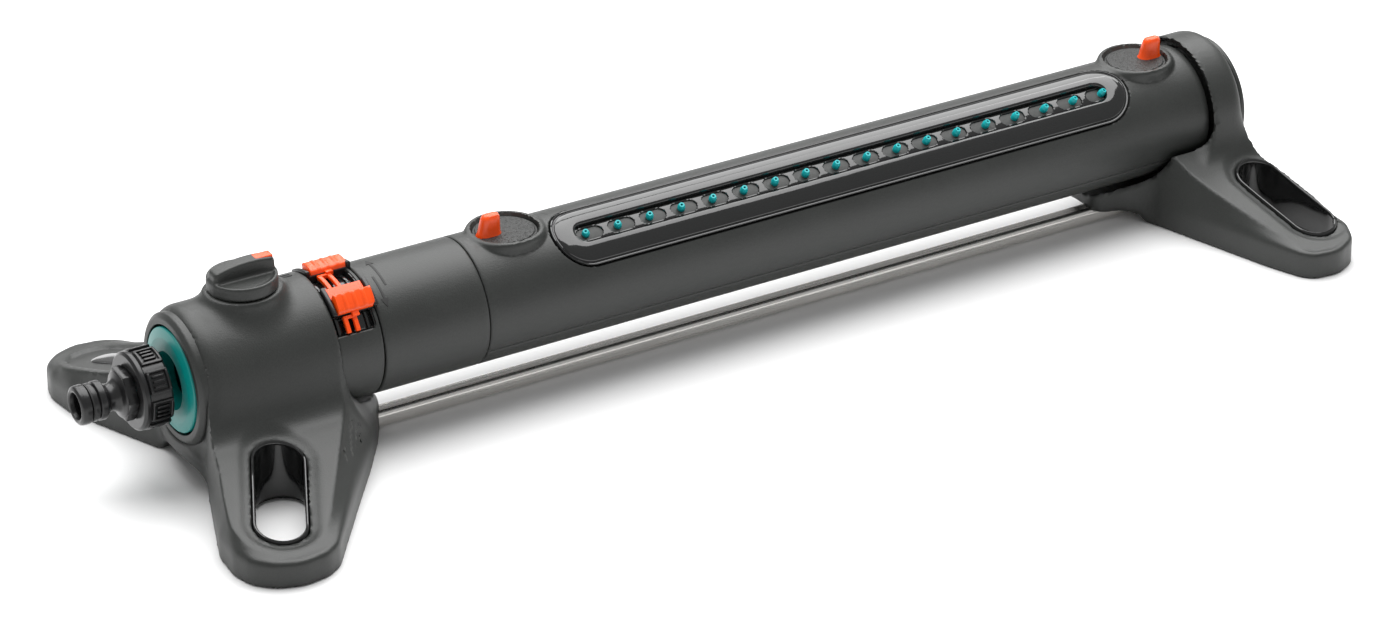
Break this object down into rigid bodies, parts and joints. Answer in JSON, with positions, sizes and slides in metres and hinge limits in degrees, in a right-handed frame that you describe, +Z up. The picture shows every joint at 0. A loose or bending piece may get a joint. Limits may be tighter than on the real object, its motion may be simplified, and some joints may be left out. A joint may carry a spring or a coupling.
{
  "type": "oscillating garden sprinkler",
  "caption": "Oscillating garden sprinkler: swinging tube with a row of teal jets, two footed stands, hose nipple, flow knob, range sliders and fan levers.",
  "frame": {"origin": "centre of the footprint at ground level", "axes": "+X along the swinging tube from the hose nipple to the end cap, +Z up, -Y the front the jets lean towards"},
  "size_m": [0.563, 0.212, 0.0872],
  "materials": {
    "anthracite_plastic": "fine textured matte",
    "black_gloss": "glossy black",
    "black_plastic": "satin black",
    "teal_plastic": "satin teal",
    "teal_rubber": "soft teal",
    "orange_plastic": "satin orange",
    "bar_aluminium": "polished",
    "inner_plastic": "moulded grey",
    "rubber_seal": "black seal",
    "screw_steel": "zinc",
    "sieve_mesh": "pale mesh"
  },
  "bodies": {
    "frame": {"inlet_stand": "anthracite_plastic", "end_stand": "anthracite_plastic", "end_cap": "anthracite_plastic", "base_bar": "bar_aluminium", "inlet_stand_screws": "screw_steel", "end_stand_screws": "screw_steel", "inlet_slot_liner": "black_gloss", "end_slot_liners": "black_gloss", "collar_ring": "anthracite_plastic", "motor_housing": "inner_plastic", "valve_body": "inner_plastic", "spindle_seal": "rubber_seal"},
    "filter_unit": {"filter_ring": "teal_plastic", "filter_seal": "rubber_seal", "filter_screen": "sieve_mesh", "hose_nipple": "black_plastic", "nipple_seal": "rubber_seal", "inlet_washer": "rubber_seal", "union_nut": "black_plastic"},
    "flow_valve": {"flow_knob": "anthracite_plastic", "knob_marker": "orange_plastic", "valve_spindle": "inner_plastic", "valve_plug": "inner_plastic"},
    "front_slider": {"slider_front_carriage": "black_plastic", "slider_front_clip": "orange_plastic"},
    "rear_slider": {"slider_rear_carriage": "black_plastic", "slider_rear_clip": "orange_plastic"},
    "turbine": {"turbine_wheel": "inner_plastic"},
    "middle_gear": {"reduction_gear": "inner_plastic"},
    "output_wheel": {"output_gear": "inner_plastic"},
    "tube": {"drive_sleeve": "anthracite_plastic", "tube_upper_shell": "anthracite_plastic", "tube_lower_shell": "anthracite_plastic", "nozzle_panel": "black_gloss", "water_tube": "inner_plastic", "end_bearing": "inner_plastic"},
    "left_zoom": {"zoom_dial_left": "anthracite_plastic", "zoom_lever_left": "orange_plastic"},
    "right_zoom": {"zoom_dial_right": "anthracite_plastic", "zoom_lever_right": "orange_plastic"},
    "left_strip": {"zoom_slide_left": "inner_plastic"},
    "right_strip": {"zoom_slide_right": "inner_plastic"},
    "jet_01": {"nozzle_01": "teal_rubber"},
    "jet_02": {"nozzle_02": "teal_rubber"},
    "jet_03": {"nozzle_03": "teal_rubber"},
    "jet_04": {"nozzle_04": "teal_rubber"},
    "jet_05": {"nozzle_05": "teal_rubber"},
    "jet_06": {"nozzle_06": "teal_rubber"},
    "jet_07": {"nozzle_07": "teal_rubber"},
    "jet_08": {"nozzle_08": "teal_rubber"},
    "jet_09": {"nozzle_09": "teal_rubber"},
    "jet_10": {"nozzle_10": "teal_rubber"},
    "jet_11": {"nozzle_11": "teal_rubber"},
    "jet_12": {"nozzle_12": "teal_rubber"},
    "jet_13": {"nozzle_13": "teal_rubber"},
    "jet_14": {"nozzle_14": "teal_rubber"},
    "jet_15": {"nozzle_15": "teal_rubber"},
    "jet_16": {"nozzle_16": "teal_rubber"},
    "jet_17": {"nozzle_17": "teal_rubber"},
    "jet_18": {"nozzle_18": "teal_rubber"}
  },
  "joints": [
    {"name": "tube_swing", "type": "hinge", "parent": "frame", "child": "tube", "pos_m": [0.065, 0, 0.0428], "axis": [1, 0, 0], "range_deg": [-75, 15]},
    {"name": "filter_pull", "type": "slide", "parent": "frame", "child": "filter_unit", "axis": [-1, 0, 0], "range_m": [0, 0.05]},
    {"name": "flow_turn", "type": "hinge", "parent": "frame", "child": "flow_valve", "pos_m": [-0.2065, 0, 0.0428], "axis": [0, 0, 1], "range_deg": [0, 90]},
    {"name": "front_limit", "type": "hinge", "parent": "frame", "child": "front_slider", "pos_m": [-0.1682, 0, 0.0428], "axis": [1, 0, 0], "range_deg": [-14, 9]},
    {"name": "rear_limit", "type": "hinge", "parent": "frame", "child": "rear_slider", "pos_m": [-0.1682, 0, 0.0428], "axis": [1, 0, 0], "range_deg": [-30, 10]},
    {"name": "turbine_spin", "type": "hinge", "parent": "frame", "child": "turbine", "pos_m": [-0.18, 0, 0.0428], "axis": [1, 0, 0], "continuous": true},
    {"name": "middle_spin", "type": "hinge", "parent": "frame", "child": "middle_gear", "pos_m": [-0.17, 0, 0.03335], "axis": [1, 0, 0], "continuous": true},
    {"name": "output_spin", "type": "hinge", "parent": "frame", "child": "output_wheel", "pos_m": [-0.16, 0, 0.0428], "axis": [1, 0, 0], "continuous": true},
    {"name": "left_fan", "type": "hinge", "parent": "tube", "child": "left_zoom", "pos_m": [-0.088, 0, 0.0698], "axis": [0, 0, 1], "range_deg": [0, 80]},
    {"name": "right_fan", "type": "hinge", "parent": "tube", "child": "right_zoom", "pos_m": [0.2276, 0, 0.0698], "axis": [0, 0, 1], "range_deg": [-80, 0]},
    {"name": "left_strip_slide", "type": "slide", "parent": "tube", "child": "left_strip", "axis": [1, 0, 0], "range_m": [0, 0.002]},
    {"name": "right_strip_slide", "type": "slide", "parent": "tube", "child": "right_strip", "axis": [1, 0, 0], "range_m": [-0.002, 0]},
    {"name": "jet_01_lean", "type": "hinge", "parent": "tube", "child": "jet_01", "pos_m": [-0.05426, -0.007, 0.05492], "axis": [0, 0.866, 0.5], "range_deg": [0, 15.05]},
    {"name": "jet_02_lean", "type": "hinge", "parent": "tube", "child": "jet_02", "pos_m": [-0.03945, -0.007, 0.05492], "axis": [0, 0.866, 0.5], "range_deg": [0, 13.29]},
    {"name": "jet_03_lean", "type": "hinge", "parent": "tube", "child": "jet_03", "pos_m": [-0.02462, -0.007, 0.05492], "axis": [0, 0.866, 0.5], "range_deg": [0, 11.52]},
    {"name": "jet_04_lean", "type": "hinge", "parent": "tube", "child": "jet_04", "pos_m": [-0.00979, -0.007, 0.05492], "axis": [0, 0.866, 0.5], "range_deg": [0, 9.76]},
    {"name": "jet_05_lean", "type": "hinge", "parent": "tube", "child": "jet_05", "pos_m": [0.00504, -0.007, 0.05492], "axis": [0, 0.866, 0.5], "range_deg": [0, 7.99]},
    {"name": "jet_06_lean", "type": "hinge", "parent": "tube", "child": "jet_06", "pos_m": [0.01988, -0.007, 0.05492], "axis": [0, 0.866, 0.5], "range_deg": [0, 6.23]},
    {"name": "jet_07_lean", "type": "hinge", "parent": "tube", "child": "jet_07", "pos_m": [0.03472, -0.007, 0.05492], "axis": [0, 0.866, 0.5], "range_deg": [0, 4.46]},
    {"name": "jet_08_lean", "type": "hinge", "parent": "tube", "child": "jet_08", "pos_m": [0.04956, -0.007, 0.05492], "axis": [0, 0.866, 0.5], "range_deg": [0, 2.7]},
    {"name": "jet_09_lean", "type": "hinge", "parent": "tube", "child": "jet_09", "pos_m": [0.0644, -0.007, 0.05492], "axis": [0, 0.866, 0.5], "range_deg": [0, 0.932]},
    {"name": "jet_10_lean", "type": "hinge", "parent": "tube", "child": "jet_10", "pos_m": [0.07925, -0.007, 0.05492], "axis": [0, 0.866, 0.5], "range_deg": [-0.932, 0]},
    {"name": "jet_11_lean", "type": "hinge", "parent": "tube", "child": "jet_11", "pos_m": [0.09409, -0.007, 0.05492], "axis": [0, 0.866, 0.5], "range_deg": [-2.7, 0]},
    {"name": "jet_12_lean", "type": "hinge", "parent": "tube", "child": "jet_12", "pos_m": [0.10893, -0.007, 0.05492], "axis": [0, 0.866, 0.5], "range_deg": [-4.46, 0]},
    {"name": "jet_13_lean", "type": "hinge", "parent": "tube", "child": "jet_13", "pos_m": [0.12377, -0.007, 0.05492], "axis": [0, 0.866, 0.5], "range_deg": [-6.23, 0]},
    {"name": "jet_14_lean", "type": "hinge", "parent": "tube", "child": "jet_14", "pos_m": [0.13861, -0.007, 0.05492], "axis": [0, 0.866, 0.5], "range_deg": [-7.99, 0]},
    {"name": "jet_15_lean", "type": "hinge", "parent": "tube", "child": "jet_15", "pos_m": [0.15344, -0.007, 0.05492], "axis": [0, 0.866, 0.5], "range_deg": [-9.76, 0]},
    {"name": "jet_16_lean", "type": "hinge", "parent": "tube", "child": "jet_16", "pos_m": [0.16827, -0.007, 0.05492], "axis": [0, 0.866, 0.5], "range_deg": [-11.52, 0]},
    {"name": "jet_17_lean", "type": "hinge", "parent": "tube", "child": "jet_17", "pos_m": [0.1831, -0.007, 0.05492], "axis": [0, 0.866, 0.5], "range_deg": [-13.29, 0]},
    {"name": "jet_18_lean", "type": "hinge", "parent": "tube", "child": "jet_18", "pos_m": [0.19791, -0.007, 0.05492], "axis": [0, 0.866, 0.5], "range_deg": [-15.05, 0]}
  ],
  "couplings": [
    {"joint": "middle_spin", "follows": "turbine_spin", "ratio": -0.4},
    {"joint": "output_spin", "follows": "turbine_spin", "ratio": 0.16},
    {"joint": "left_strip_slide", "follows": "left_fan", "m_per_rad": 0.0014},
    {"joint": "right_strip_slide", "follows": "right_fan", "m_per_rad": 0.0014},
    {"joint": "jet_01_lean", "follows": "left_fan", "ratio": 0.1875},
    {"joint": "jet_02_lean", "follows": "left_fan", "ratio": 0.16544},
    {"joint": "jet_03_lean", "follows": "left_fan", "ratio": 0.14338},
    {"joint": "jet_04_lean", "follows": "left_fan", "ratio": 0.12132},
    {"joint": "jet_05_lean", "follows": "left_fan", "ratio": 0.099265},
    {"joint": "jet_06_lean", "follows": "left_fan", "ratio": 0.077206},
    {"joint": "jet_07_lean", "follows": "left_fan", "ratio": 0.055147},
    {"joint": "jet_08_lean", "follows": "left_fan", "ratio": 0.033088},
    {"joint": "jet_09_lean", "follows": "left_fan", "ratio": 0.011029},
    {"joint": "jet_10_lean", "follows": "right_fan", "ratio": 0.011029},
    {"joint": "jet_11_lean", "follows": "right_fan", "ratio": 0.033088},
    {"joint": "jet_12_lean", "follows": "right_fan", "ratio": 0.055147},
    {"joint": "jet_13_lean", "follows": "right_fan", "ratio": 0.077206},
    {"joint": "jet_14_lean", "follows": "right_fan", "ratio": 0.099265},
    {"joint": "jet_15_lean", "follows": "right_fan", "ratio": 0.12132},
    {"joint": "jet_16_lean", "follows": "right_fan", "ratio": 0.14338},
    {"joint": "jet_17_lean", "follows": "right_fan", "ratio": 0.16544},
    {"joint": "jet_18_lean", "follows": "right_fan", "ratio": 0.1875}
  ]
}
